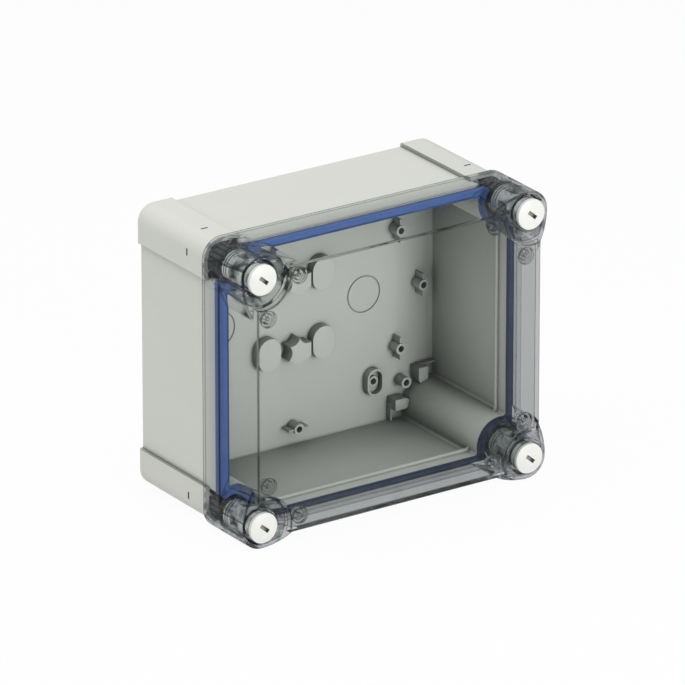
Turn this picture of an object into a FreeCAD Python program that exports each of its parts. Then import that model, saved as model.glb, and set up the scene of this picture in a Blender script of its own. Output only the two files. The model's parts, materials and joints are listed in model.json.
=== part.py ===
import FreeCAD, Part
import math
import os

# Hinged enclosure with a grey moulded base and a clear cover.
# Millimetres. X to the right, Y towards the wall, Z up.
# The origin is the centre of the wall fixings, in the wall plane.
# Depth is the distance in front of the wall plane, so depth = -Y.

# Base housing
base_width = 285.0          # over the corner columns, X
base_height = 241.0         # over the corner columns, Z
seam_depth = 100.0          # wall plane to the edge of the cover's skirt
column_size = 32.0          # side of a square corner column
column_step = 3.2           # columns stand this far out from the walls
column_corner_r = 14.5
column_back_r = 2.5
column_wall = 2.8
column_back_wall = 3.0
wall = 2.8
floor_front = 7.0           # depth of the back wall's inner face
floor_thickness = 3.0
cavity_floor_r = 2.5
cavity_post_r = 2.0
cavity_corner_r = 4.0
back_edge_r = 2.0

# Seal between the base rim and the cover
seal_inset = 2.6            # gasket's outer face, in from the column faces
seal_width = 6.4
seal_height = 10.0
seal_screw_r = 16.1         # gasket's outer side, round each screw axis
seal_flange = 1.7           # thickness of the gasket's part over the rim's inner wall
seal_join_r = 2.5
seal_gap = 0.2              # gasket to rim and to cover, closed
seal_side_gap = 0.1
rim_wall = 1.8              # wall inside the gasket
ledge_width = 2.7           # ledge inside the rim, between the posts
ledge_thickness = 1.5
ledge_sink = 2.7            # ledge's front, behind the gasket's seat

# Corner fasteners
screw_inset_x = 14.5        # axis, in from the column's side face
screw_inset_z = 15.4        # axis, in from the column's end face
pocket_r = 18.8
socket_tube_r = 9.2
socket_rib = 2.4
socket_bore_r = 5.6
socket_bore_length = 22.0   # behind the seam
insert_r = 7.5
insert_clearance = 0.1
insert_length = 14.0
insert_groove = 0.7
tip_r = 4.5
tip_reach = 4.0             # behind the seam
shank_r = 6.0
shank_start = 1.0           # in front of the seam
sleeve_gap = 0.2
sleeve_step = 0.6           # sleeve, over the body's radius
sleeve_start = 1.5          # in front of the seam
sleeve_end_gap = 0.3
sleeve_flutes = 18
sleeve_flute_r = 1.1
body_r = 12.4
body_sink = 2.0             # body's back end, behind the shelf's front
body_ring_pitch = 3.0
body_rings = 2
body_ring_depth = 1.2
body_window_width = 9.0
body_window_rise = 9.0      # in front of the body's back end
body_window_sink = 14.9     # behind the turret's front
body_window_depth = 4.5
body_groove_depth = 1.1
cap_step = 0.35             # cap, over the body's radius
cap_gap = 0.4               # cap to turret
cap_rim_height = 2.2
cap_dome = 1.5
cap_edge_r = 0.5
cap_slot_length = 9.5
cap_slot_width = 3.2
cap_slot_depth = 3.2
cap_slot_angle = 40.0
seal_ring_sink = 8.6        # behind the turret's front
seal_ring_height = 2.4
seal_ring_play = 0.1        # seal ring in the cover's bore
seal_ring_clearance = 0.1

# Cover
cover_proud = 3.5           # skirt outside the column faces
cover_draft = 0.2           # turrets lean in by this much from the shelf to their fronts
cover_wall = 2.8
skirt_clearance = 0.5       # skirt's inner face outside the column faces
skirt_front_r = 1.6
shelf_height = 23.0         # seam to the shelf between the turrets
shelf_thickness = 3.3
turret_height = 57.4        # seam to the turret's front
turret_plate = 2.5
turret_reach = 34.0         # side arcs' length past the screw axis
turret_side_r = 64.0        # side arcs' radius
turret_front_r = 2.0
turret_inner_back_r = 22.5  # wall towards the inside, at the shelf
turret_inner_front_r = 26.0 # the same wall, at the window
turret_inner_wall = 2.5
turret_cavity_clear = 0.8
tube_clearance = 0.65       # cover's bore round the body
tube_wall = 2.45
window_step = 5.6           # window in front of the turrets
window_plate = 3.0
window_inset = 7.2          # front window's edge, in from the column faces
window_draft = 1.6
window_corner_r = 3.0
window_edge_r = 1.2
window_bite_r = 24.2        # window's corner cut round each cap
cover_boss_r = 4.5
cover_boss_bore_r = 1.7
cover_boss_length = 8.0
cover_boss_flange_r = 6.8
cover_boss_flange = 2.6
cover_boss_side_x = 19.5    # in from the column faces
cover_boss_side_z = 49.5
cover_boss_end_x = 49.0
cover_boss_end_z = 18.5

# Features on the inside of the back wall
wall_fix_x = 155.0
wall_fix_z = 154.0
wall_fix_hole_r = 2.75
wall_fix_width = 16.0
wall_fix_length = 23.5
wall_fix_height = 7.0       # heights here are over the back wall's face
wall_fix_rim = 1.75
wall_fix_pad_r = 9.0
wall_fix_web = 1.0          # floor of the recess, in front of the back wall's face
wall_fix_collar_r = 4.6
wall_fix_collar_height = 3.5
boss_r = 4.75
boss_bore_r = 2.75
boss_height = 11.3
boss_bore_depth = 9.0
boss_rib_reach = 9.75
boss_rib_width = 1.5
boss_rib_drop = 0.8
side_boss_inset = 20.9      # insets are from the column faces
end_boss_inset = 21.7
field_boss_x = 99.5
field_boss_z = 51.0
corner_boss_x = 104.8
corner_boss_z = 81.8
block_height = 12.5
block_width = 9.4
block_length = 14.0
block_rib_width = 1.5
block_rib_height = 6.0
block_side_x = 21.7         # insets of the two blocks in each corner
block_side_z = 42.1
block_end_x = 42.2
block_end_z = 21.4
pad_x = 26.2
pad_z = 29.8
pad_width = 21.6
pad_length = 28.5
pad_height = 8.2
hex_z = 30.0
hex_r = 12.5
hex_height = 12.5
hex_bite_r = 8.0
hex_bite_offset = 15.5
hex_bite_angles = (60, 120, 180)
knockout_x = 70.0
knockout_r = 16.0
knockout_groove = 1.0
knockout_depth = 0.8
slot_inset = 16.5
slot_sink_depth = 27.0      # behind the seam
slot_length = 6.0
slot_width = 1.8
slot_sink = 1.6

# Hinges on the right side
hinge_offset = 4.5          # axis outside the skirt's face
knuckle_r = 4.0
hinge_pin_r = 2.0
pin_hold_clearance = 0.02
pin_run_clearance = 0.06
pin_head_r = 2.9
pin_head_height = 1.2
hinge_length = 20.0
hinge_centre_inset = 21.5   # hinge's middle, in from the column's end face
knuckle_length = 6.0
knuckle_gap = 0.25
leaf_thickness = 3.2
cover_leaf_thickness = 2.8
base_leaf_start = 34.0      # behind the seam
base_leaf_end = 4.5
cover_leaf_end = 17.5       # in front of the seam
knuckle_clearance = 0.6
leaf_edge_r = 1.0
hinge_screw_r = 1.25
hinge_screw_hole_clearance = 0.05
hinge_screw_head_r = 2.5
hinge_screw_head_height = 1.6
base_screw_length = 8.0
cover_screw_length = 5.4
base_screw_rows = (21.0, 11.0)
base_screw_offset = 2.0
cover_screw_spacing = 9.5
cover_screw_row = 11.5

half_x = base_width / 2
half_z = base_height / 2
axis_x = half_x - screw_inset_x
axis_z = half_z - screw_inset_z
cap_r = body_r + cap_step
sleeve_r = body_r + sleeve_step
body_groove_r = body_r - body_groove_depth
tube_bore_r = body_r + tube_clearance
tube_r = tube_bore_r + tube_wall
seal_ring_r = tube_bore_r - seal_ring_play
shelf_front = seam_depth + shelf_height
shelf_back = shelf_front - shelf_thickness
turret_front = seam_depth + turret_height
turret_cavity_front = turret_front - turret_plate
window_front = turret_front + window_step
window_back = window_front - window_plate
cover_boss_back = window_back - cover_boss_length
gasket_front = shelf_back - seal_gap
gasket_back = gasket_front - seal_height
rim_front = gasket_back - seal_gap
rim_wall_front = gasket_front - seal_flange - seal_gap
ledge_front = rim_front - ledge_sink
ledge_back = ledge_front - ledge_thickness
seal_inner_inset = seal_inset + seal_width
post_r = seal_screw_r + seal_width
socket_bore_back = seam_depth - socket_bore_length
insert_back = seam_depth - insert_length
tip_back = seam_depth - tip_reach
shank_back = seam_depth + shank_start
sleeve_back = seam_depth + sleeve_start
body_back = shelf_front - body_sink
sleeve_front = body_back - sleeve_end_gap
body_window_back = body_back + body_window_rise
body_window_front = turret_front - body_window_sink
seal_ring_back = turret_front - seal_ring_sink
cap_back = turret_front + cap_gap
cap_rim_front = cap_back + cap_rim_height
wall_fix_front = floor_front + wall_fix_height
wall_fix_collar_front = floor_front + wall_fix_collar_height
boss_front = floor_front + boss_height
block_front = floor_front + block_height
pad_front = floor_front + pad_height
hex_front = floor_front + hex_height
slot_depth_position = seam_depth - slot_sink_depth
base_leaf_back = seam_depth - base_leaf_start
base_leaf_front = seam_depth - base_leaf_end
cover_leaf_front = seam_depth + cover_leaf_end
cover_screw_depth = seam_depth + cover_screw_row
hinge_x = half_x + cover_proud + hinge_offset
hinge_z = half_z - hinge_centre_inset
corners = {
    "upper_left": (-1, 1),
    "upper_right": (1, 1),
    "lower_left": (-1, -1),
    "lower_right": (1, -1),
}
quadrants = tuple(corners.values())


def at(x, depth, z):
    return FreeCAD.Vector(x, -depth, z)


def block(x1, x2, d1, d2, z1, z2):
    low = at(min(x1, x2), max(d1, d2), min(z1, z2))
    return Part.makeBox(abs(x2 - x1), abs(d2 - d1), abs(z2 - z1), low)


def rod(x, z, r, d1, d2):
    return Part.makeCylinder(r, d2 - d1, at(x, d1, z), FreeCAD.Vector(0, -1, 0))


def edges_at(solid, depth):
    return [e for e in solid.Edges if all(abs(v.Y + depth) < 1e-6 for v in e.Vertexes)]


def depth_edges(solid):
    found = []
    for e in solid.Edges:
        a, b = e.Vertexes[0].Point, e.Vertexes[-1].Point
        if abs(a.x - b.x) < 1e-6 and abs(a.z - b.z) < 1e-6 and abs(a.y - b.y) > 1e-6:
            found.append(e)
    return found


def rounded_outline(hx, hz, r, depth):
    # closed outline of a rectangle with round corners, across the depth
    pieces = []
    last = None
    first = None
    for start, sx, sz in ((-90, 1, -1), (0, 1, 1), (90, -1, 1), (180, -1, -1)):
        cx, cz = sx * (hx - r), sz * (hz - r)
        points = []
        for step in (0, 45, 90):
            a = math.radians(start + step)
            points.append(at(cx + r * math.cos(a), depth, cz + r * math.sin(a)))
        if last is not None:
            pieces.append(Part.makeLine(last, points[0]))
        else:
            first = points[0]
        pieces.append(Part.Arc(*points).toShape())
        last = points[2]
    pieces.append(Part.makeLine(last, first))
    return Part.Wire(pieces)


def slab(hx, hz, r, d1, d2):
    face = Part.Face(rounded_outline(hx, hz, r, d1))
    return face.extrude(FreeCAD.Vector(0, d1 - d2, 0))


def leaning(hx1, hz1, r1, d1, hx2, hz2, r2, d2):
    return Part.makeLoft([rounded_outline(hx1, hz1, r1, d1), rounded_outline(hx2, hz2, r2, d2)], True, True)


def at_corners(make):
    # the same shape round each of the four screw axes
    shapes = [make(sx, sz) for sx, sz in quadrants]
    return shapes[0].multiFuse(shapes[1:])


def axis_rods(r, d1, d2):
    return at_corners(lambda sx, sz: rod(sx * axis_x, sz * axis_z, r, d1, d2))


def axis_cones(r1, d1, r2, d2):
    def cone(sx, sz):
        return Part.makeCone(r1, r2, d2 - d1, at(sx * axis_x, d1, sz * axis_z), FreeCAD.Vector(0, -1, 0))
    return at_corners(cone)


def seal_outline(inset, depth):
    # rectangle whose corners bend inwards round the screws
    r = seal_screw_r + inset - seal_inset
    hx, hz = half_x - inset, half_z - inset
    side_reach = math.sqrt(r ** 2 - (hx - axis_x) ** 2)
    end_reach = math.sqrt(r ** 2 - (hz - axis_z) ** 2)
    bend = r * math.sqrt(0.5)
    pieces = []
    last = None
    first = None
    for sx, sz, from_side in ((1, 1, True), (-1, 1, False), (-1, -1, True), (1, -1, False)):
        side = at(sx * hx, depth, sz * (axis_z - side_reach))
        end = at(sx * (axis_x - end_reach), depth, sz * hz)
        middle = at(sx * (axis_x - bend), depth, sz * (axis_z - bend))
        start, stop = (side, end) if from_side else (end, side)
        if last is not None:
            pieces.append(Part.makeLine(last, start))
        else:
            first = start
        pieces.append(Part.Arc(start, middle, stop).toShape())
        last = stop
    pieces.append(Part.makeLine(last, first))
    return Part.Wire(pieces)


def seal_plate(inset, join_r, d1, d2):
    plate = Part.Face(seal_outline(inset, d1)).extrude(FreeCAD.Vector(0, d1 - d2, 0))
    return plate.makeFillet(join_r, depth_edges(plate))


def seal_ring(inset, width, d1, d2):
    # ring along the gasket's path, in from the sides and round the inner side of each screw
    outer = seal_plate(inset, seal_join_r, d1, d2)
    return outer.cut(seal_plate(inset + width, seal_join_r, d1 - 1, d2 + 1))


def obround(x, z, width, length, d1, d2):
    reach = (length - width) / 2
    middle = block(x - width / 2, x + width / 2, d1, d2, z - reach, z + reach)
    ends = [rod(x, z + s * reach, width / 2, d1, d2) for s in (-1, 1)]
    return middle.multiFuse(ends).removeSplitter()


def ribbed_boss(x, z, upright):
    boss = rod(x, z, boss_r, floor_front - 1, boss_front)
    if upright is not None:
        reach, thin = boss_rib_reach, boss_rib_width / 2
        rx, rz = (thin, reach) if upright else (reach, thin)
        boss = boss.fuse(block(x - rx, x + rx, floor_front - 1, boss_front - boss_rib_drop, z - rz, z + rz))
    return boss


def boss_places():
    places = [(s * (half_x - side_boss_inset), 0.0, True) for s in (-1, 1)]
    places += [(0.0, s * (half_z - end_boss_inset), False) for s in (-1, 1)]
    for sx, sz in quadrants:
        places.append((sx * field_boss_x, sz * field_boss_z, True))
        places.append((sx * corner_boss_x, sz * corner_boss_z, None))
    return places


def support_block(x, z, sx, sz, to_side):
    # flat-sided support with one round end, tied to the wall behind it by a low rib
    d1, d2 = floor_front - 1, block_front
    r = block_width / 2
    half = block_length / 2
    top = floor_front + block_rib_height
    thin = block_rib_width / 2
    if to_side:
        tail = block(x - r, x + r, d1, d2, z - sz * half, z + sz * (half - r))
        arch = rod(x, z + sz * (half - r), r, d1, d2)
        rib = block(x, sx * (half_x - column_step - wall / 2), d1, top, z - sz * half + thin, z - sz * half - thin)
    else:
        tail = block(x - sx * half, x + sx * (half - r), d1, d2, z - r, z + r)
        arch = rod(x + sx * (half - r), z, r, d1, d2)
        rib = block(x - sx * half + thin, x - sx * half - thin, d1, top, z, sz * (half_z - column_step - wall / 2))
    return tail.fuse(arch).fuse(rib)


def hexagon_post(sz):
    points = []
    for k in range(7):
        a = math.radians(90 + 60 * k)
        points.append(at(hex_r * math.cos(a), floor_front - 1, sz * hex_z + hex_r * math.sin(a)))
    post = Part.Face(Part.makePolygon(points)).extrude(FreeCAD.Vector(0, floor_front - 1 - hex_front, 0))
    for angle in hex_bite_angles:
        a = math.radians(angle)
        bite_x = hex_bite_offset * math.cos(a)
        bite_z = sz * hex_z + hex_bite_offset * math.sin(a)
        post = post.cut(rod(bite_x, bite_z, hex_bite_r, floor_front, hex_front + 1))
    return post


def wall_fix_places():
    return [(sx * wall_fix_x / 2, sz * wall_fix_z / 2) for sx, sz in quadrants]


def base_cavity():
    inset = column_step + wall
    cavity = slab(half_x - inset, half_z - inset, cavity_corner_r, floor_front, seam_depth + 1)
    cavity = cavity.cut(axis_rods(post_r, floor_front - 1, seam_depth + 2))
    cavity = cavity.makeFillet(cavity_post_r, depth_edges(cavity))
    return cavity.makeFillet(cavity_floor_r, edges_at(cavity, floor_front))


def column_pockets():
    # hollow round each screw socket, open to the front
    inset = column_wall
    inside = slab(half_x - inset, half_z - inset, column_corner_r - inset, column_back_wall, seam_depth + 1)

    def pocket(sx, sz):
        x, z = sx * axis_x, sz * axis_z
        space = inside.common(rod(x, z, pocket_r, column_back_wall, seam_depth + 1))
        space = space.cut(rod(x, z, socket_tube_r, 0, seam_depth + 2))
        rib = socket_rib / 2
        upright = block(x - rib, x + rib, 0, seam_depth - 2, z - pocket_r - 1, z + pocket_r + 1)
        level = block(x - pocket_r - 1, x + pocket_r + 1, 0, seam_depth - 2, z - rib, z + rib)
        cross = upright.fuse(level)
        cross.rotate(at(x, 0, z), FreeCAD.Vector(0, 1, 0), 45)
        return space.cut(cross)

    return [pocket(sx, sz) for sx, sz in quadrants]


def base_shell():
    walls = slab(half_x - column_step, half_z - column_step, column_corner_r - column_step, 0, seam_depth)
    walls = walls.makeFillet(back_edge_r, edges_at(walls, 0))
    full = slab(half_x, half_z, column_corner_r, 0, seam_depth)
    full = full.makeFillet(column_back_r, edges_at(full, 0))

    def column_space(sx, sz):
        x1, z1 = sx * (half_x - column_size), sz * (half_z - column_size)
        return block(x1, sx * (half_x + 1), -1, seam_depth + 1, z1, sz * (half_z + 1))

    shell = walls.fuse(full.common(at_corners(column_space)))
    shell = shell.cut(base_cavity())
    inset = column_step + wall
    recess = slab(half_x - inset, half_z - inset, cavity_corner_r, -1, floor_front - floor_thickness)
    recess = recess.cut(axis_rods(post_r, -2, floor_front))
    for x, z in wall_fix_places():
        recess = recess.cut(rod(x, z, wall_fix_pad_r, -2, floor_front))
    return shell.cut(recess)


def rim_hollow(inset, d1, d2):
    # space inside the rim, between the posts
    hollow = slab(half_x - inset, half_z - inset, cavity_corner_r, d1, d2)
    hollow = hollow.cut(axis_rods(post_r, d1 - 1, d2 + 1))
    return hollow.makeFillet(cavity_post_r, depth_edges(hollow))


def base_rim():
    # seat for the gasket, a wall inside it and a ledge along each side
    rim = seal_plate(column_step, seal_join_r, seam_depth - 1, rim_front)
    rim = rim.fuse(seal_plate(seal_inner_inset - rim_wall, seal_join_r, rim_front - 0.5, rim_wall_front))
    rim = rim.cut(rim_hollow(column_step + wall, seam_depth - 2, ledge_back))
    rim = rim.cut(rim_hollow(seal_inner_inset + ledge_width, ledge_back - 0.5, ledge_front + 0.5))
    return rim.cut(seal_plate(seal_inner_inset, cavity_post_r, ledge_front, rim_wall_front + 1))


def column_slots():
    # one small slot in each outer face of each column
    cuts = []
    for sx, sz in quadrants:
        d1 = slot_depth_position - slot_width / 2
        d2 = slot_depth_position + slot_width / 2
        z = sz * (half_z - slot_inset)
        x = sx * (half_x - slot_inset)
        reach = slot_length / 2
        cuts.append(block(sx * (half_x - slot_sink), sx * (half_x + 1), d1, d2, z - reach, z + reach))
        cuts.append(block(x - reach, x + reach, d1, d2, sz * (half_z - slot_sink), sz * (half_z + 1)))
    return cuts


def base_housing():
    solid = base_shell().fuse(base_rim())
    solid = solid.cut(Part.makeCompound(column_pockets()))
    added = [ribbed_boss(x, z, upright) for x, z, upright in boss_places()]
    for sx, sz in quadrants:
        added.append(support_block(sx * (half_x - block_side_x), sz * (half_z - block_side_z), sx, sz, True))
        added.append(support_block(sx * (half_x - block_end_x), sz * (half_z - block_end_z), sx, sz, False))
        added.append(obround(sx * pad_x, sz * pad_z, pad_width, pad_length, floor_front - 1, pad_front))
    added += [hexagon_post(sz) for sz in (-1, 1)]
    for x, z in wall_fix_places():
        outside = obround(x, z, wall_fix_width, wall_fix_length, floor_front - 1, wall_fix_front)
        width, length = wall_fix_width - 2 * wall_fix_rim, wall_fix_length - 2 * wall_fix_rim
        inside = obround(x, z, width, length, floor_front + wall_fix_web, wall_fix_front + 1)
        added.append(outside.cut(inside).fuse(rod(x, z, wall_fix_collar_r, floor_front - 1, wall_fix_collar_front)))
    solid = solid.multiFuse(added)
    cuts = column_slots()
    for x, z, upright in boss_places():
        cuts.append(rod(x, z, boss_bore_r, boss_front - boss_bore_depth, boss_front + 1))
    for x, z in wall_fix_places():
        cuts.append(rod(x, z, wall_fix_hole_r, -1, wall_fix_front))
    for s in (-1, 1):
        ring = rod(s * knockout_x, 0, knockout_r, floor_front - knockout_depth, floor_front + 1)
        cuts.append(ring.cut(rod(s * knockout_x, 0, knockout_r - knockout_groove, 0, floor_front + 2)))
    for sx, sz in quadrants:
        x, z = sx * axis_x, sz * axis_z
        cuts.append(rod(x, z, insert_r + insert_clearance, insert_back, seam_depth + 1))
        cuts.append(rod(x, z, socket_bore_r, socket_bore_back, seam_depth))
    for sz in (-1, 1):
        cuts += base_screw_holes(sz)
    return solid.cut(Part.makeCompound(cuts)).removeSplitter()


def rim_gasket():
    # strip beside the rim's inner wall, with a flange over the wall's front
    strip = seal_ring(seal_inset, seal_width - rim_wall - seal_side_gap, gasket_back, gasket_front)
    flange = seal_ring(seal_inset, seal_width, gasket_front - seal_flange, gasket_front)
    return strip.fuse(flange).removeSplitter()


def corner_insert(sx, sz):
    x, z = sx * axis_x, sz * axis_z
    insert = rod(x, z, insert_r, insert_back, seam_depth)
    middle = (insert_back + seam_depth) / 2
    groove = rod(x, z, insert_r + 1, middle - 1.5, middle + 1.5)
    groove = groove.cut(rod(x, z, insert_r - insert_groove, middle - 2, middle + 2))
    return insert.cut(groove).cut(rod(x, z, socket_bore_r, insert_back - 1, seam_depth + 1))


def fastener_sleeve(sx, sz):
    x, z = sx * axis_x, sz * axis_z
    sleeve = rod(x, z, sleeve_r, sleeve_back, sleeve_front)
    sleeve = sleeve.cut(rod(x, z, shank_r + sleeve_gap, sleeve_back - 1, sleeve_front + 1))
    flutes = []
    for k in range(sleeve_flutes):
        a = math.radians(360 * k / sleeve_flutes)
        fx, fz = x + sleeve_r * math.cos(a), z + sleeve_r * math.sin(a)
        flutes.append(rod(fx, fz, sleeve_flute_r, sleeve_back + 1.5, sleeve_front + 1))
    return sleeve.cut(Part.makeCompound(flutes))


def fastener_body(sx, sz):
    # turned body with ring grooves behind and four square windows, on a stepped shank
    x, z = sx * axis_x, sz * axis_z
    profile = [(0, tip_back), (tip_r - 1, tip_back), (tip_r, tip_back + 1), (tip_r, shank_back), (shank_r, shank_back)]
    profile += [(shank_r, body_back), (body_r, body_back)]
    groove_bottom = body_r - body_ring_depth
    for k in range(body_rings):
        d = body_back + 2.0 + k * body_ring_pitch
        profile += [(body_r, d), (groove_bottom, d), (groove_bottom, d + 1.2), (body_r, d + 1.2)]
    profile += [(body_r, seal_ring_back), (body_groove_r, seal_ring_back)]
    profile += [(body_groove_r, seal_ring_back + seal_ring_height), (body_r, seal_ring_back + seal_ring_height)]
    profile += [(body_r, cap_back), (0, cap_back)]
    points = [at(x + px, d, z) for px, d in profile]
    solid = Part.Face(Part.makePolygon(points + points[:1])).revolve(at(x, 0, z), FreeCAD.Vector(0, -1, 0), 360)
    windows = []
    half = body_window_width / 2
    for turn in (0, 90, 180, 270):
        window = block(x + body_r - body_window_depth, x + body_r + 1, body_window_back, body_window_front, z - half, z + half)
        window.rotate(at(x, 0, z), FreeCAD.Vector(0, 1, 0), turn)
        windows.append(window)
    return solid.cut(Part.makeCompound(windows))


def fastener_cap(sx, sz):
    x, z = sx * axis_x, sz * axis_z
    front = cap_rim_front + cap_dome
    arc_r = (cap_r ** 2 + cap_dome ** 2) / (2 * cap_dome)
    half_way = cap_r / 2
    half_depth = front - arc_r + math.sqrt(arc_r ** 2 - half_way ** 2)
    edge = Part.Arc(at(x + cap_r, cap_rim_front, z), at(x + half_way, half_depth, z), at(x, front, z)).toShape()
    back_edge = Part.makeLine(at(x, cap_back, z), at(x + cap_r, cap_back, z))
    rim_edge = Part.makeLine(at(x + cap_r, cap_back, z), at(x + cap_r, cap_rim_front, z))
    centre = Part.makeLine(at(x, front, z), at(x, cap_back, z))
    face = Part.Face(Part.Wire([back_edge, rim_edge, edge, centre]))
    cap = face.revolve(at(x, 0, z), FreeCAD.Vector(0, -1, 0), 360)
    cap = cap.makeFillet(cap_edge_r, edges_at(cap, cap_rim_front))
    slot = block(x - cap_slot_length / 2, x + cap_slot_length / 2, front - cap_slot_depth, front + 1,
                 z - cap_slot_width / 2, z + cap_slot_width / 2)
    slot.rotate(at(x, 0, z), FreeCAD.Vector(0, 1, 0), cap_slot_angle)
    return cap.cut(slot)


def fastener_seal(sx, sz):
    x, z = sx * axis_x, sz * axis_z
    d1 = seal_ring_back + seal_ring_clearance
    d2 = seal_ring_back + seal_ring_height - seal_ring_clearance
    ring = rod(x, z, seal_ring_r, d1, d2)
    ring = ring.makeFillet(0.7, edges_at(ring, d1) + edges_at(ring, d2))
    return ring.cut(rod(x, z, body_groove_r + seal_ring_clearance, d1 - 1, d2 + 1))


def turret_outline(sx, sz, proud, depth):
    # round corner, then a wide arc along each side until it meets the window
    r = column_corner_r + proud
    hx, hz = half_x + proud, half_z + proud
    cx, cz = hx - r, hz - r
    reach = turret_reach
    sink = turret_side_r - math.sqrt(turret_side_r ** 2 - reach ** 2)
    half_sink = turret_side_r - math.sqrt(turret_side_r ** 2 - (reach / 2) ** 2)
    bend = r * math.sqrt(0.5)

    def point(x, z):
        return at(sx * x, depth, sz * z)

    side_start, side_end = point(hx, cz), point(hx - sink, cz - reach)
    end_start, end_end = point(cx, hz), point(cx - reach, hz - sink)
    inner = point(cx - reach, cz - reach)
    return Part.Wire([
        Part.Arc(side_start, point(cx + bend, cz + bend), end_start).toShape(),
        Part.Arc(end_start, point(cx - reach / 2, hz - half_sink), end_end).toShape(),
        Part.makeLine(end_end, inner),
        Part.makeLine(inner, side_end),
        Part.Arc(side_end, point(hx - half_sink, cz - reach / 2), side_start).toShape(),
    ])


def turret_block(sx, sz, proud, d1, d2):
    back = turret_outline(sx, sz, proud, d1)
    front = turret_outline(sx, sz, proud - cover_draft, d2)
    return Part.makeLoft([back, front], True, True)


def cover_outer():
    r = column_corner_r + cover_proud
    skirt = slab(half_x + cover_proud, half_z + cover_proud, r, seam_depth, shelf_front)
    skirt = skirt.makeFillet(skirt_front_r, edges_at(skirt, shelf_front))

    def turret(sx, sz):
        piece = turret_block(sx, sz, cover_proud, shelf_back, turret_front)
        return piece.makeFillet(turret_front_r, edges_at(piece, turret_front))

    back_inset = window_inset - window_draft
    window = leaning(half_x - back_inset, half_z - back_inset, window_corner_r, shelf_back,
                     half_x - window_inset, half_z - window_inset, window_corner_r, window_front)
    window = window.cut(axis_rods(window_bite_r, turret_front, window_front + 1))
    window = window.makeFillet(window_edge_r, edges_at(window, window_front))
    return skirt.multiFuse([turret(sx, sz) for sx, sz in quadrants] + [window])


def cover_cavities():
    skirt_space = slab(half_x + skirt_clearance, half_z + skirt_clearance, column_corner_r + skirt_clearance,
                       seam_depth - 1, shelf_back)
    back_inset = window_inset - window_draft + cover_wall
    front_inset = window_inset + cover_wall
    window_space = leaning(half_x - back_inset, half_z - back_inset, window_corner_r, shelf_back - 1,
                           half_x - front_inset, half_z - front_inset, window_corner_r, window_back)
    window_space = window_space.cut(axis_cones(turret_inner_back_r, shelf_back - 1, turret_inner_front_r, window_back + 1))
    wall_off = turret_inner_wall
    cones = axis_cones(turret_inner_back_r - wall_off, shelf_back - 1, turret_inner_front_r - wall_off, turret_cavity_front)
    inside = at_corners(lambda sx, sz: turret_block(sx, sz, turret_cavity_clear, shelf_back - 1, turret_front))
    return [skirt_space, window_space, inside.common(cones)]


def cover_boss_places():
    places = []
    for sx, sz in quadrants:
        places.append((sx * (half_x - cover_boss_side_x), sz * (half_z - cover_boss_side_z)))
        places.append((sx * (half_x - cover_boss_end_x), sz * (half_z - cover_boss_end_z)))
    return places


def clear_cover():
    solid = cover_outer()
    for space in cover_cavities():
        solid = solid.cut(space)
    tubes = at_corners(lambda sx, sz: turret_block(sx, sz, cover_proud - 1, shelf_back - 1, turret_front))
    tubes = tubes.common(axis_rods(tube_r, shelf_back, turret_front - 1))
    added = [tubes]
    for x, z in cover_boss_places():
        added.append(rod(x, z, cover_boss_r, cover_boss_back, window_back + 1))
        added.append(rod(x, z, cover_boss_flange_r, window_back - cover_boss_flange, window_back + 1))
    solid = solid.multiFuse(added)
    cuts = [axis_rods(tube_bore_r, shelf_back - 1, turret_front + 1)]
    for x, z in cover_boss_places():
        cuts.append(rod(x, z, cover_boss_bore_r, cover_boss_back - 1, window_back - 1))
    for sz in (-1, 1):
        cuts += cover_screw_holes(sz)
    return solid.cut(Part.makeCompound(cuts)).removeSplitter()


def side_rod(x1, x2, depth, z, r):
    return Part.makeCylinder(r, x2 - x1, at(x1, depth, z), FreeCAD.Vector(1, 0, 0))


def upright_rod(r, z1, z2):
    return Part.makeCylinder(r, z2 - z1, at(hinge_x, seam_depth, z1))


def base_screw_places(sz):
    z = sz * (hinge_z - base_screw_offset)
    return [(seam_depth - row, z) for row in base_screw_rows]


def cover_screw_places(sz):
    return [(cover_screw_depth, sz * hinge_z + s * cover_screw_spacing / 2) for s in (-1, 1)]


def base_screw_holes(sz):
    r = hinge_screw_r + hinge_screw_hole_clearance
    outside = half_x + leaf_thickness
    return [side_rod(outside - base_screw_length, outside + 1, d, z, r) for d, z in base_screw_places(sz)]


def cover_screw_holes(sz):
    r = hinge_screw_r + hinge_screw_hole_clearance
    outside = half_x + cover_proud + cover_leaf_thickness
    return [side_rod(outside - cover_screw_length, outside + 1, d, z, r) for d, z in cover_screw_places(sz)]


def hinge_ends(sz):
    return sz * hinge_z - hinge_length / 2, sz * hinge_z + hinge_length / 2


def hinge_base_leaf(sz):
    # leaf on the column, hooked into its slot, with a knuckle at each end
    low, high = hinge_ends(sz)
    plate = block(half_x, half_x + leaf_thickness, base_leaf_back, base_leaf_front, low, high)
    plate = plate.makeFillet(leaf_edge_r, [e for e in plate.Edges if e.BoundBox.XMin > half_x + 0.1])
    pieces = []
    for z1, z2 in ((low, low + knuckle_length), (high - knuckle_length, high)):
        pieces.append(upright_rod(knuckle_r, z1, z2))
        pieces.append(block(half_x, hinge_x, base_leaf_front - 4, seam_depth - 0.6, z1, z2))
    slot_z = sz * (half_z - slot_inset)
    reach = slot_length / 2 - 0.1
    thin = slot_width / 2 - 0.1
    pieces.append(block(half_x - slot_sink + 0.2, half_x + 1, slot_depth_position - thin, slot_depth_position + thin,
                        slot_z - reach, slot_z + reach))
    leaf = plate.multiFuse(pieces)
    leaf = leaf.cut(upright_rod(hinge_pin_r + pin_hold_clearance, low - 1, high + 1))
    for hole in base_screw_holes(sz):
        leaf = leaf.cut(hole)
    return leaf.removeSplitter()


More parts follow.
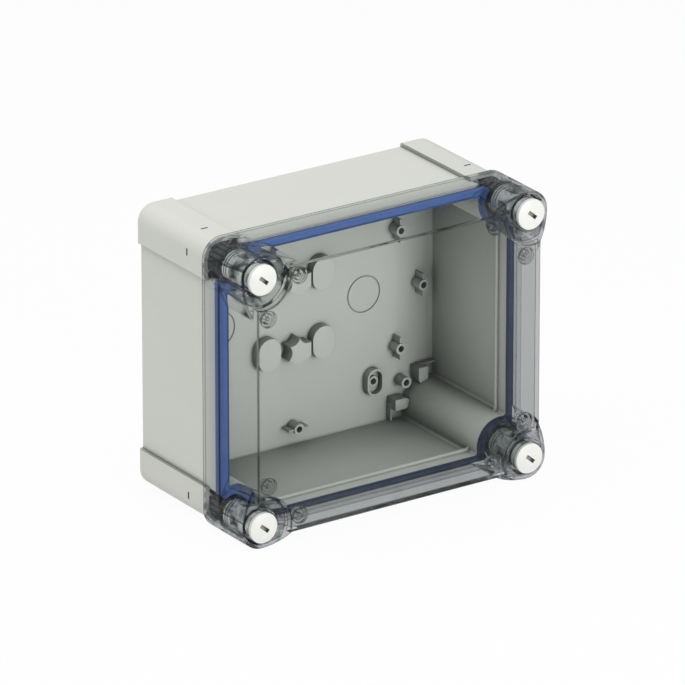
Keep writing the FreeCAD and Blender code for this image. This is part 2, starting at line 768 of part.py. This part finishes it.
def hinge_cover_leaf(sz):
    # leaf on the turret's side, with one knuckle in the middle
    low, high = hinge_ends(sz)
    x1 = half_x + cover_proud
    start = seam_depth + knuckle_r + knuckle_clearance
    plate = block(x1, x1 + cover_leaf_thickness, start, cover_leaf_front, low, high)
    plate = plate.makeFillet(leaf_edge_r, [e for e in plate.Edges if e.BoundBox.XMin > x1 + 0.1])
    z1 = low + knuckle_length + knuckle_gap
    z2 = high - knuckle_length - knuckle_gap
    web = block(x1 + 0.1, x1 + cover_leaf_thickness, seam_depth, start + 2, z1, z2)
    leaf = plate.multiFuse([upright_rod(knuckle_r, z1, z2), web])
    leaf = leaf.cut(upright_rod(hinge_pin_r + pin_run_clearance, low - 1, high + 1))
    for hole in cover_screw_holes(sz):
        leaf = leaf.cut(hole)
    return leaf.removeSplitter()


def hinge_pin(sz):
    low, high = hinge_ends(sz)
    head = upright_rod(pin_head_r, high, high + pin_head_height)
    return upright_rod(hinge_pin_r, low, high).fuse(head)


def hinge_screw(x_face, length, depth, z):
    head = side_rod(x_face, x_face + hinge_screw_head_height, depth, z, hinge_screw_head_r)
    head = head.makeFillet(0.7, [e for e in head.Edges if e.BoundBox.XMin > x_face + 0.1])
    head = head.cut(block(x_face + 0.9, x_face + 3, depth - 0.35, depth + 0.35, z - 1.7, z + 1.7))
    return head.fuse(side_rod(x_face - length + 0.3, x_face + 0.2, depth, z, hinge_screw_r))


def hinge_screws(places, x_face, length):
    return Part.makeCompound([hinge_screw(x_face, length, d, z) for sz in (-1, 1) for d, z in places(sz)])


def save(name, shape):
    shape.exportStep("parts/" + name + ".step")
    print(name, len(shape.Solids), "solids", "valid" if shape.isValid() else "NOT VALID", round(shape.Volume, 1))


def main():
    os.makedirs("parts", exist_ok=True)
    save("base_housing", base_housing())
    save("clear_cover", clear_cover())
    save("rim_gasket", rim_gasket())
    for corner, (sx, sz) in corners.items():
        save("corner_insert_" + corner, corner_insert(sx, sz))
        save("fastener_body_" + corner, fastener_body(sx, sz))
        save("fastener_sleeve_" + corner, fastener_sleeve(sx, sz))
        save("fastener_cap_" + corner, fastener_cap(sx, sz))
        save("fastener_seal_" + corner, fastener_seal(sx, sz))
    for place, sz in (("upper", 1), ("lower", -1)):
        save("hinge_base_leaf_" + place, hinge_base_leaf(sz))
        save("hinge_cover_leaf_" + place, hinge_cover_leaf(sz))
        save("hinge_pin_" + place, hinge_pin(sz))
    base_face = half_x + leaf_thickness
    cover_face = half_x + cover_proud + cover_leaf_thickness
    save("hinge_screws_base", hinge_screws(base_screw_places, base_face, base_screw_length))
    save("hinge_screws_cover", hinge_screws(cover_screw_places, cover_face, cover_screw_length))


main()
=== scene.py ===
import bpy
import json
import math
from mathutils import Matrix, Vector


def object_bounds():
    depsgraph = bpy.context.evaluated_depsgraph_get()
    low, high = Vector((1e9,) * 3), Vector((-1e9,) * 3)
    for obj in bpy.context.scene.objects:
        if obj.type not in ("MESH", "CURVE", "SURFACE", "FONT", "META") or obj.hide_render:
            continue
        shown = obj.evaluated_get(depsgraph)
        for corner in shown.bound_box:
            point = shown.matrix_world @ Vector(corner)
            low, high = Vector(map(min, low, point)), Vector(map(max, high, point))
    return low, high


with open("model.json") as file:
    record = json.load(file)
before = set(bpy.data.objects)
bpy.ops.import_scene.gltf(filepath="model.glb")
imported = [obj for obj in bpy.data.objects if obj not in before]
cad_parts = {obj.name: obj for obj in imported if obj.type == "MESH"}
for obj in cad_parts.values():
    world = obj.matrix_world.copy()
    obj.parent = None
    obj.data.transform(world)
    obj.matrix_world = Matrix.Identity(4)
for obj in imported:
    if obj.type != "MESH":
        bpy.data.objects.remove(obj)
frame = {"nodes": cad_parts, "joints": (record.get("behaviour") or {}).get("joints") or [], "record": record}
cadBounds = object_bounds()
nodes = frame["nodes"]
print("frame loaded:", len(nodes), "nodes")

# node helpers

# another node's socket is linked, any other value is set
def setInputs(tree, node, inputs):
    for key, value in inputs.items():
        socket = node.inputs[key]
        if isinstance(value, bpy.types.NodeSocket):
            tree.links.new(value, socket)
        elif socket.type == "RGBA":
            socket.default_value = (*value, 1)
        else:
            socket.default_value = value


def addNode(tree, kind, place, inputs=None, **settings):
    node = tree.nodes.new(kind)
    node.location = place
    for key, value in settings.items():
        setattr(node, key, value)
    setInputs(tree, node, inputs or {})
    return node


def calc(tree, place, operation, *values, **settings):
    node = addNode(tree, "ShaderNodeMath", place, dict(enumerate(values)), operation=operation, **settings)
    return node.outputs[0]


def vectorCalc(tree, place, operation, *values):
    node = addNode(tree, "ShaderNodeVectorMath", place, dict(enumerate(values)), operation=operation)
    return node.outputs


def remap(tree, place, value, before=(0.0, 1.0), after=(0.0, 1.0), curve="LINEAR"):
    limits = {"From Min": before[0], "From Max": before[1], "To Min": after[0], "To Max": after[1]}
    inputs = {"Value": value, **limits}
    return addNode(tree, "ShaderNodeMapRange", place, inputs, interpolation_type=curve).outputs[0]


def mixTones(tree, place, share, first, second, blend="MIX"):
    inputs = {"Factor": share, "A": first, "B": second}
    node = addNode(tree, "ShaderNodeMix", place, inputs, data_type="RGBA", blend_type=blend)
    return node.outputs["Result"]


def mixShaders(tree, place, share, first, second):
    inputs = {0: share, 1: first.outputs[0], 2: second.outputs[0]}
    blend = addNode(tree, "ShaderNodeMixShader", place, inputs)
    tree.links.new(blend.outputs[0], tree.get_output_node("ALL").inputs["Surface"])


def addNoise(tree, place, coords, size, detail, roughness, distortion=0.0):
    texture = {"Scale": size, "Detail": detail, "Roughness": roughness, "Distortion": distortion}
    return addNode(tree, "ShaderNodeTexNoise", place, {"Vector": coords, **texture}).outputs[0]


def addBump(tree, place, height, strength, distance):
    inputs = {"Height": height, "Strength": strength, "Distance": distance}
    return addNode(tree, "ShaderNodeBump", place, inputs).outputs[0]


def addCoords(tree, place, kind="Object"):
    return addNode(tree, "ShaderNodeTexCoord", place).outputs[kind]


def splitAxes(tree, place, vector):
    return addNode(tree, "ShaderNodeSeparateXYZ", place, {0: vector}).outputs


def newGroup(name, inputs):
    tree = bpy.data.node_groups.new(name, "ShaderNodeTree")
    for label, value in inputs.items():
        socket = tree.interface.new_socket(name=label, in_out="INPUT", socket_type="NodeSocketFloat")
        socket.default_value = value
    return tree, addNode(tree, "NodeGroupInput", (-1100, 0)).outputs


def endGroup(tree, results):
    for label, result in results.items():
        kind = "NodeSocketVector" if result.type == "VECTOR" else "NodeSocketFloat"
        tree.interface.new_socket(name=label, in_out="OUTPUT", socket_type=kind)
    addNode(tree, "NodeGroupOutput", (700, 0), results)
    return tree


def useGroup(tree, group, place, inputs):
    return addNode(tree, "ShaderNodeGroup", place, inputs, node_tree=group).outputs


def newMaterial(name):
    material = bpy.data.materials.new(name)
    material.use_nodes = True
    tree = material.node_tree
    tree.nodes.clear()
    output = addNode(tree, "ShaderNodeOutputMaterial", (900, 0))
    shader = addNode(tree, "ShaderNodeBsdfPrincipled", (400, 0))
    tree.links.new(shader.outputs["BSDF"], output.inputs["Surface"])
    return material, tree, shader


# effect groups, each gives masks, values or normals

# fine spark-eroded mould texture with slow drifts in tone and gloss
def mouldedSkin():
    grainHeight = 0.00012
    glossToTone = 0.35    # the gloss drifts more slowly than the tone
    tree, given = newGroup("moulded skin", {"Grain size": 2600.0, "Grain depth": 0.12, "Drift size": 14.0})
    coords = addCoords(tree, (-900, -260))
    grain = addNoise(tree, (-500, -300), coords, given["Grain size"], 3.0, 0.6)
    drift = addNoise(tree, (-500, 200), coords, given["Drift size"], 4.0, 0.55)
    glossSize = calc(tree, (-700, 60), "MULTIPLY", given["Drift size"], glossToTone)
    gloss = addNoise(tree, (-500, -40), coords, glossSize, 2.0, 0.5, 1.4)
    relief = addBump(tree, (300, -300), grain, given["Grain depth"], grainHeight)
    return endGroup(tree, {"Drift": drift, "Gloss drift": gloss, "Normal": relief})


# rounded edges found by comparing the bevelled normal with the true one
def softEdges():
    likeness = (0.995, 0.82)    # from no edge to a full edge
    tree, given = newGroup("soft edges", {"Radius": 0.0009})
    bevel = addNode(tree, "ShaderNodeBevel", (-600, 100), {"Radius": given["Radius"]}, samples=6).outputs[0]
    normal = addNode(tree, "ShaderNodeNewGeometry", (-600, -120)).outputs["Normal"]
    alike = vectorCalc(tree, (-380, 0), "DOT_PRODUCT", bevel, normal)["Value"]
    return endGroup(tree, {"Edge": remap(tree, (-150, 0), alike, likeness)})


# corners and hollows, as a mask for painted shade: 1 in the open, 0 deep inside
def deepCorners():
    sight = (0.15, 0.95)    # share of free sight, from deep inside to the open
    tree, given = newGroup("deep corners", {"Reach": 0.02})
    reach = {"Distance": given["Reach"]}
    around = addNode(tree, "ShaderNodeAmbientOcclusion", (-400, 0), reach, samples=6, only_local=True)
    return endGroup(tree, {"Open": remap(tree, (-120, 0), around.outputs["AO"], sight, curve="SMOOTHSTEP")})


# very shallow waves and polishing marks of a clear moulding
def clearSurface():
    waveHeight = 0.0006
    speckSize = 420.0
    speckRange = (0.55, 0.8)
    mostHaze = 0.05
    tree, given = newGroup("clear surface", {"Wave size": 22.0, "Wave depth": 0.03})
    coords = addCoords(tree, (-900, -260))
    wave = addNoise(tree, (-500, -200), coords, given["Wave size"], 1.0, 0.4)
    speck = addNoise(tree, (-500, 120), coords, speckSize, 2.0, 0.7)
    haze = remap(tree, (-200, 120), speck, speckRange, (0.0, mostHaze))
    relief = addBump(tree, (200, -200), wave, given["Wave depth"], waveHeight)
    return endGroup(tree, {"Haze": haze, "Normal": relief})


# edges that round from the front towards a side, as 4 * y * y * (1 - y * y) of the bevelled normal
def frontEdges():
    tree, given = newGroup("front edges", {"Sharpness": 1.5, "Width": 0.0012})
    bevel = addNode(tree, "ShaderNodeBevel", (-900, -100), {"Radius": given["Width"]}, samples=8).outputs[0]
    local = addNode(tree, "ShaderNodeVectorTransform", (-740, -100), {0: bevel},
                    vector_type="NORMAL", convert_from="WORLD", convert_to="OBJECT").outputs[0]
    front = splitAxes(tree, (-600, -100), local)["Y"]
    square = calc(tree, (-460, -100), "MULTIPLY", front, front)
    rest = calc(tree, (-300, -100), "SUBTRACT", 1.0, square)
    both = calc(tree, (-140, -100), "MULTIPLY", square, rest)
    full = calc(tree, (40, -100), "MULTIPLY", both, 4.0, use_clamp=True)
    line = calc(tree, (220, -100), "POWER", full, given["Sharpness"], use_clamp=True)
    return endGroup(tree, {"Line": line})


# the four corner turrets round the fasteners' axes: an uneven mask for their painted shade, and the ripple
# of their flow lines
def turretFlow():
    places = {joint["name"]: joint["pos_m"] for joint in frame["joints"]}
    axis = places["turn_upper_right"]
    turretEdge = (0.027, 0.022)    # distance from the axis, from outside the turret to inside
    flowRange = (0.5, 0.6)
    leastShade = 0.04
    rippleHeight = 0.0015
    tree, given = newGroup("turret flow", {"Flow size": 110.0})
    coords = addCoords(tree, (-1100, -200))
    mirrored = vectorCalc(tree, (-900, -100), "ABSOLUTE", coords)[0]
    flat = vectorCalc(tree, (-720, -100), "MULTIPLY", mirrored, (1, 0, 1))[0]
    apart = vectorCalc(tree, (-540, -100), "DISTANCE", flat, (axis[0], 0, axis[2]))["Value"]
    near = remap(tree, (-340, -100), apart, turretEdge, curve="SMOOTHSTEP")
    flow = addNoise(tree, (-540, -400), coords, given["Flow size"], 2.0, 0.5, 1.2)
    uneven = remap(tree, (-340, -400), flow, flowRange, (leastShade, 1.0))
    turretShade = calc(tree, (100, -100), "MULTIPLY", near, uneven)
    ripple = addBump(tree, (300, -400), flow, near, rippleHeight)
    return endGroup(tree, {"Turret shade": turretShade, "Corner": near, "Normal": ripple})


# turning lines round an axis that runs front to back
def turningLines():
    lineHeight = 0.00008
    tree, given = newGroup("turning lines", {"Pitch": 900.0, "Depth": 0.2})
    coords = addCoords(tree, (-900, -200))
    inputs = {"Vector": coords, "Scale": given["Pitch"], "Distortion": 0.6, "Detail": 2.0}
    lines = addNode(tree, "ShaderNodeTexWave", (-500, -200), inputs, bands_direction="Y").outputs[1]
    relief = addBump(tree, (200, -200), lines, given["Depth"], lineHeight)
    return endGroup(tree, {"Tone": lines, "Normal": relief})


skinGroup = mouldedSkin()
edgeGroup = softEdges()
cornerGroup = deepCorners()
clearGroup = clearSurface()
lineGroup = frontEdges()
flowGroup = turretFlow()
turnGroup = turningLines()
print("effect groups ready")

# finishes

# painted shade: the deep inside of the box is darker, above all on its side walls
def shadeHollow(tree, look, tone):
    hollow = useGroup(tree, cornerGroup, (-700, -700), {"Reach": look["hollowShadeReach"]})
    closed = calc(tree, (-380, -700), "SUBTRACT", 1.0, hollow["Open"])
    normal = addCoords(tree, (-900, -860), "Normal")
    facing = calc(tree, (-540, -860), "ABSOLUTE", splitAxes(tree, (-700, -860), normal)["Y"])
    sideways = remap(tree, (-380, -860), facing, after=(1.0, look["frontHollowShade"]))
    share = calc(tree, (-160, -760), "MULTIPLY", closed, sideways)
    return mixTones(tree, (240, 240), share, tone, look["hollowShadeTone"], "MULTIPLY")


# painted shade on the sides to the right and below, which lie in the cover's shade
def shadeFarSides(tree, look, tone):
    place = splitAxes(tree, (-700, 480), addCoords(tree, (-900, 480)))
    across = calc(tree, (-680, 640), "MULTIPLY", place["X"], look["farShadeSlope"])
    side = calc(tree, (-540, 480), "SUBTRACT", across, place["Z"])
    share = remap(tree, (-380, 480), side, look["farShadeRange"], (0.0, look["farShadeShare"]), "SMOOTHSTEP")
    return mixTones(tree, (320, 480), share, tone, look["farShadeTone"], "MULTIPLY")


def plasticFinish(name, look):
    material, tree, shader = newMaterial(name)
    grain = {"Grain size": look["grainSize"], "Grain depth": look["grainDepth"]}
    skin = useGroup(tree, skinGroup, (-700, -100), {"Drift size": look["driftSize"], **grain})
    edge = useGroup(tree, edgeGroup, (-700, -420), {"Radius": look["edgeRadius"]})
    corner = useGroup(tree, cornerGroup, (-700, -560), {"Reach": look["cornerShadeReach"]})
    tone = mixTones(tree, (-380, 240), skin["Drift"], look["darkTone"], look["lightTone"])
    # a painted highlight along the edges of most finishes, and a painted dark shade line along the housing's
    # edges
    paintedEdgeShare = calc(tree, (-380, -20), "MULTIPLY", edge["Edge"], look["paintedEdgeShare"])
    tone = mixTones(tree, (-160, 240), paintedEdgeShare, tone, look["paintedEdgeTone"])
    # painted shade darkens the corners, creases and gaps between parts
    tone = mixTones(tree, (80, 240), corner["Open"], look["cornerShadeTone"], tone)
    if "hollowShadeTone" in look:
        tone = shadeHollow(tree, look, tone)
    if "farShadeTone" in look:
        tone = shadeFarSides(tree, look, tone)
    gloss = remap(tree, (80, -60), skin["Gloss drift"], after=look["roughness"])
    setInputs(tree, shader, {
        "Base Color": tone, "Roughness": gloss, "Normal": skin["Normal"],
        "Specular IOR Level": look["specular"],
    })
    return material


def clearFinish(name, look):
    material, tree, shader = newMaterial(name)
    waves = {"Wave size": look["waveSize"], "Wave depth": look["waveDepth"]}
    surface = useGroup(tree, clearGroup, (-500, -100), waves)
    # the plastic gets darker where it is looked along
    slant = addNode(tree, "ShaderNodeLayerWeight", (-900, 300), {"Blend": 0.5}).outputs["Facing"]
    steep = calc(tree, (-700, 300), "POWER", slant, look["slantPower"])
    tone = mixTones(tree, (-500, 300), steep, look["tint"], look["slantTint"])
    # painted shade: dark lines along the sharp edges, and along the rounded ones where they are seen from
    # the front
    edge = useGroup(tree, edgeGroup, (-900, 520), {"Radius": look["edgeRadius"]})
    paintedEdgeShare = calc(tree, (-500, 520), "MULTIPLY", edge["Edge"], look["paintedEdgeShare"])
    rounding = {"Sharpness": look["roundSharpness"], "Width": look["roundWidth"]}
    rounded = useGroup(tree, lineGroup, (-900, 680), rounding)
    frontal = remap(tree, (-700, 820), slant, after=(look["roundShadeShare"], 0.0))
    roundShadeShare = calc(tree, (-500, 680), "MULTIPLY", rounded["Line"], frontal)
    lineShadeShare = calc(tree, (-360, 600), "MAXIMUM", paintedEdgeShare, roundShadeShare)
    tone = mixTones(tree, (-250, 400), lineShadeShare, tone, look["edgeShadeTint"])
    # painted shade: the corner turrets are darkened unevenly
    corner = useGroup(tree, flowGroup, (-900, 1000), {"Flow size": look["flowSize"]})
    turretShadeShare = calc(tree, (-500, 1000), "MULTIPLY", corner["Turret shade"], look["turretShadeShare"])
    tone = mixTones(tree, (0, 400), turretShadeShare, tone, look["turretShadeTint"], "MULTIPLY")
    coat = remap(tree, (-500, 1160), corner["Corner"], after=(look["coat"], look["cornerCoat"]))
    setInputs(tree, shader, {
        "Base Color": tone, "Roughness": surface["Haze"], "Normal": surface["Normal"], "IOR": look["ior"],
        "Transmission Weight": 1.0, "Coat Weight": coat, "Coat Normal": corner["Normal"],
        "Coat IOR": look["coatIor"], "Coat Roughness": look["coatRoughness"],
    })
    # light and bounced light pass straight through, so the inside is lit as behind thin clear plastic
    passing = addNode(tree, "ShaderNodeBsdfTransparent", (400, -560), {"Color": look["passing"]})
    path = addNode(tree, "ShaderNodeLightPath", (-100, -500)).outputs
    through = calc(tree, (150, -500), "MAXIMUM", path["Is Shadow Ray"], path["Is Diffuse Ray"])
    mixShaders(tree, (760, -200), through, shader, passing)
    return material


def metalFinish(name, look):
    material, tree, shader = newMaterial(name)
    lines = useGroup(tree, turnGroup, (-600, -100), {"Pitch": look["pitch"], "Depth": look["depth"]})
    skin = useGroup(tree, skinGroup, (-600, -400), {"Drift size": look["driftSize"]})
    tone = mixTones(tree, (-200, 200), skin["Drift"], look["darkTone"], look["lightTone"])
    gloss = remap(tree, (-200, -100), lines["Tone"], after=look["roughness"])
    setInputs(tree, shader, {
        "Base Color": tone, "Roughness": gloss, "Normal": lines["Normal"], "Metallic": 1.0,
    })
    return material


housingLook = {
    "lightTone": (0.74, 0.75, 0.69), "darkTone": (0.67, 0.68, 0.63),
    "paintedEdgeTone": (0.33, 0.35, 0.33), "paintedEdgeShare": 0.75, "edgeRadius": 0.0009,
    "cornerShadeTone": (0.24, 0.26, 0.24), "cornerShadeReach": 0.004,
    "hollowShadeTone": (0.14, 0.165, 0.155), "hollowShadeReach": 0.11, "frontHollowShade": 0.25,
    "grainSize": 2200.0, "grainDepth": 0.16, "driftSize": 9.0, "roughness": (0.46, 0.6), "specular": 0.4,
}
hingeLook = {
    "lightTone": (0.69, 0.70, 0.65), "darkTone": (0.62, 0.63, 0.58),
    "paintedEdgeTone": (0.78, 0.79, 0.74), "paintedEdgeShare": 0.4, "edgeRadius": 0.0009,
    "cornerShadeTone": (0.34, 0.35, 0.33), "cornerShadeReach": 0.006,
    "grainSize": 2600.0, "grainDepth": 0.14, "driftSize": 40.0, "roughness": (0.42, 0.55), "specular": 0.4,
}
gasketLook = {
    "lightTone": (0.085, 0.16, 0.42), "darkTone": (0.06, 0.12, 0.33),
    "paintedEdgeTone": (0.12, 0.2, 0.5), "paintedEdgeShare": 0.4, "edgeRadius": 0.0009,
    "cornerShadeTone": (0.01, 0.018, 0.04), "cornerShadeReach": 0.005,
    "farShadeTone": (0.16, 0.2, 0.17), "farShadeShare": 0.95, "farShadeSlope": 0.8, "farShadeRange": (-0.03, 0.05),
    "grainSize": 3200.0, "grainDepth": 0.2, "driftSize": 60.0, "roughness": (0.38, 0.5), "specular": 0.35,
}
capLook = {
    "lightTone": (0.80, 0.80, 0.755), "darkTone": (0.74, 0.74, 0.70),
    "paintedEdgeTone": (0.86, 0.86, 0.82), "paintedEdgeShare": 0.4, "edgeRadius": 0.0009,
    "cornerShadeTone": (0.03, 0.032, 0.028), "cornerShadeReach": 0.004,
    "grainSize": 3000.0, "grainDepth": 0.1, "driftSize": 70.0, "roughness": (0.36, 0.48), "specular": 0.45,
}
shankLook = {
    "lightTone": (0.84, 0.86, 0.82), "darkTone": (0.74, 0.76, 0.72),
    "paintedEdgeTone": (0.95, 0.96, 0.93), "paintedEdgeShare": 0.8, "edgeRadius": 0.0009,
    "cornerShadeTone": (0.02, 0.022, 0.02), "cornerShadeReach": 0.006,
    "grainSize": 3000.0, "grainDepth": 0.1, "driftSize": 70.0, "roughness": (0.36, 0.48), "specular": 0.45,
}
sleeveLook = {
    "lightTone": (0.065, 0.07, 0.075), "darkTone": (0.04, 0.045, 0.05),
    "paintedEdgeTone": (0.16, 0.17, 0.17), "paintedEdgeShare": 0.5, "edgeRadius": 0.0009,
    "cornerShadeTone": (0.012, 0.013, 0.014), "cornerShadeReach": 0.003,
    "grainSize": 2800.0, "grainDepth": 0.2, "driftSize": 90.0, "roughness": (0.35, 0.5), "specular": 0.5,
}
ringLook = {
    "lightTone": (0.03, 0.03, 0.03), "darkTone": (0.018, 0.018, 0.018),
    "paintedEdgeTone": (0.06, 0.06, 0.06), "paintedEdgeShare": 0.3, "edgeRadius": 0.0009,
    "cornerShadeTone": (0.01, 0.01, 0.01), "cornerShadeReach": 0.002,
    "grainSize": 3600.0, "grainDepth": 0.2, "driftSize": 120.0, "roughness": (0.45, 0.6), "specular": 0.4,
}
coverLook = {
    "tint": (0.87, 0.88, 0.885), "slantTint": (0.42, 0.44, 0.45), "slantPower": 2.0, "ior": 1.05,
    "edgeShadeTint": (0.03, 0.036, 0.04), "paintedEdgeShare": 0.7, "edgeRadius": 0.001,
    "roundShadeShare": 1.1, "roundSharpness": 1.0, "roundWidth": 0.0026,
    "turretShadeTint": (0.2, 0.24, 0.28), "turretShadeShare": 0.8, "flowSize": 75.0,
    "coat": 0.2, "cornerCoat": 0.3, "coatIor": 1.58, "coatRoughness": 0.02,
    "waveSize": 22.0, "waveDepth": 0.02, "passing": (0.9, 0.91, 0.915),
}
brassLook = {
    "lightTone": (0.72, 0.56, 0.28), "darkTone": (0.50, 0.36, 0.16), "driftSize": 60.0,
    "roughness": (0.22, 0.4), "pitch": 700.0, "depth": 0.25,
}
steelLook = {
    "lightTone": (0.6, 0.61, 0.62), "darkTone": (0.42, 0.43, 0.44), "driftSize": 60.0,
    "roughness": (0.25, 0.42), "pitch": 900.0, "depth": 0.2,
}

finishes = {
    "grey_housing": plasticFinish("grey housing", housingLook),
    "clear_polycarbonate": clearFinish("clear polycarbonate", coverLook),
    "blue_seal": plasticFinish("blue seal", gasketLook),
    "white_fastener": plasticFinish("white fastener", capLook),
    "dark_sleeve": plasticFinish("dark sleeve", sleeveLook),
    "black_seal": plasticFinish("black seal", ringLook),
    "socket_brass": metalFinish("socket brass", brassLook),
    "hinge_grey": plasticFinish("hinge grey", hingeLook),
    "hinge_steel": metalFinish("hinge steel", steelLook),
}
shankFinish = plasticFinish("fastener shank", shankLook)
for row in frame["record"]["subparts"]:
    isShank = row["node"].startswith("fastener_body_")
    for materialSlot in nodes[row["node"]].material_slots:
        materialSlot.material = shankFinish if isShank else finishes[row["material_slot"]]

# stage, white where the camera sees it, and greyer through the cover

throughLevel = 0.6
plainWhite = (1, 1, 1)
floorLook = {"gap": 0.0002, "size": 6.0, "tone": (0.88, 0.88, 0.88), "roughness": 0.9, "shadowShare": 0.05}
roomLook = {"strength": 0.42, "tone": (0.97, 0.985, 1.0)}


# share of the rays that meet plain white, and how bright it is to them
def whiteRays(tree, kinds):
    path = addNode(tree, "ShaderNodeLightPath", (-700, -300)).outputs
    seen = path["Is Camera Ray"]
    for step, kind in enumerate(kinds):
        seen = calc(tree, (-480 + 160 * step, -200), "MAXIMUM", seen, path[kind])
    level = remap(tree, (-160, -420), path["Is Camera Ray"], after=(throughLevel, 1.0))
    return seen, level


def buildFloor(look):
    bpy.ops.object.select_all(action="DESELECT")
    lowest = cadBounds[0][2]
    bpy.ops.mesh.primitive_plane_add(size=look["size"], location=(0, 0, lowest - look["gap"]))
    floor = bpy.context.object
    floor.name = "studioFloor"
    material, tree, shader = newMaterial("studio floor")
    setInputs(tree, shader, {"Base Color": look["tone"], "Roughness": look["roughness"]})
    seen, level = whiteRays(tree, ["Is Transmission Ray", "Is Glossy Ray"])
    white = addNode(tree, "ShaderNodeEmission", (400, -500), {"Color": plainWhite, "Strength": level})
    share = calc(tree, (300, -420), "MULTIPLY", seen, 1 - look["shadowShare"])
    mixShaders(tree, (700, 0), share, shader, white)
    floor.data.materials.append(material)


def buildWorld(look):
    world = bpy.data.worlds.new("studio")
    bpy.context.scene.world = world
    world.use_nodes = True
    tree = world.node_tree
    tree.nodes.clear()
    addNode(tree, "ShaderNodeOutputWorld", (600, 0))
    seen, level = whiteRays(tree, ["Is Transmission Ray"])
    lit = {"Color": look["tone"], "Strength": look["strength"]}
    room = addNode(tree, "ShaderNodeBackground", (100, 120), lit)
    white = addNode(tree, "ShaderNodeBackground", (100, -120), {"Color": plainWhite, "Strength": level})
    mixShaders(tree, (400, 0), seen, room, white)


def addLamp(name, lamp):
    light = bpy.data.lights.new(name, "AREA")
    light.size = lamp["size"]
    light.energy = lamp["power"]
    light.color = lamp["tone"]
    holder = bpy.data.objects.new(name, light)
    bpy.context.scene.collection.objects.link(holder)
    holder.location = lamp["place"]
    aim = Vector(lamp["aim"]) - Vector(lamp["place"])
    holder.rotation_euler = aim.to_track_quat("-Z", "Y").to_euler()
    holder.visible_camera = False


lamps = {
    "topLamp": {
        "place": (-0.25, -0.1, 1.5), "aim": (0, -0.05, 0), "size": 1.6, "power": 16.2, "tone": (1, 1, 0.985),
    },
    "frontLamp": {
        "place": (0.35, -1.75, 0.12), "aim": (0, -0.05, 0), "size": 0.6, "power": 15.5, "tone": (1, 1, 1),
    },
    "sideLamp": {
        "place": (-1.5, 0.3, 0.4), "aim": (0, 0, 0), "size": 0.9, "power": 2.5, "tone": (1, 1, 1),
    },
}
buildFloor(floorLook)
buildWorld(roomLook)
for lampName, lampValues in lamps.items():
    addLamp(lampName, lampValues)
print("stage and lamps ready")

# camera, at the photograph's angle

view = {
    "azimuth": -33.94, "elevation": 21.89, "distance": 7.04, "sideShift": -0.04511, "upShift": 0.02702,
    "focalPixels": 8730.0, "imagePixels": 685.0, "sensorWidth": 36.0, "farthest": 50.0,
}


def buildCamera(values):
    azimuth = math.radians(values["azimuth"])
    elevation = math.radians(values["elevation"])
    right = Vector((math.cos(azimuth), math.sin(azimuth), 0))
    level = Vector((math.sin(azimuth), -math.cos(azimuth), 0))
    back = level * math.cos(elevation) + Vector((0, 0, math.sin(elevation)))
    up = back.cross(right)
    camera = bpy.data.cameras.new("photoCamera")
    camera.sensor_width = values["sensorWidth"]
    camera.lens = values["focalPixels"] / values["imagePixels"] * values["sensorWidth"]
    camera.clip_end = values["farthest"]
    holder = bpy.data.objects.new("photoCamera", camera)
    bpy.context.scene.collection.objects.link(holder)
    turn = Matrix((right, up, back)).transposed().to_4x4()
    place = back * values["distance"] - right * values["sideShift"] - up * values["upShift"]
    holder.matrix_world = Matrix.Translation(place) @ turn
    bpy.context.scene.camera = holder


buildCamera(view)
bpy.context.scene.view_settings.view_transform = "Standard"
print("camera ready")
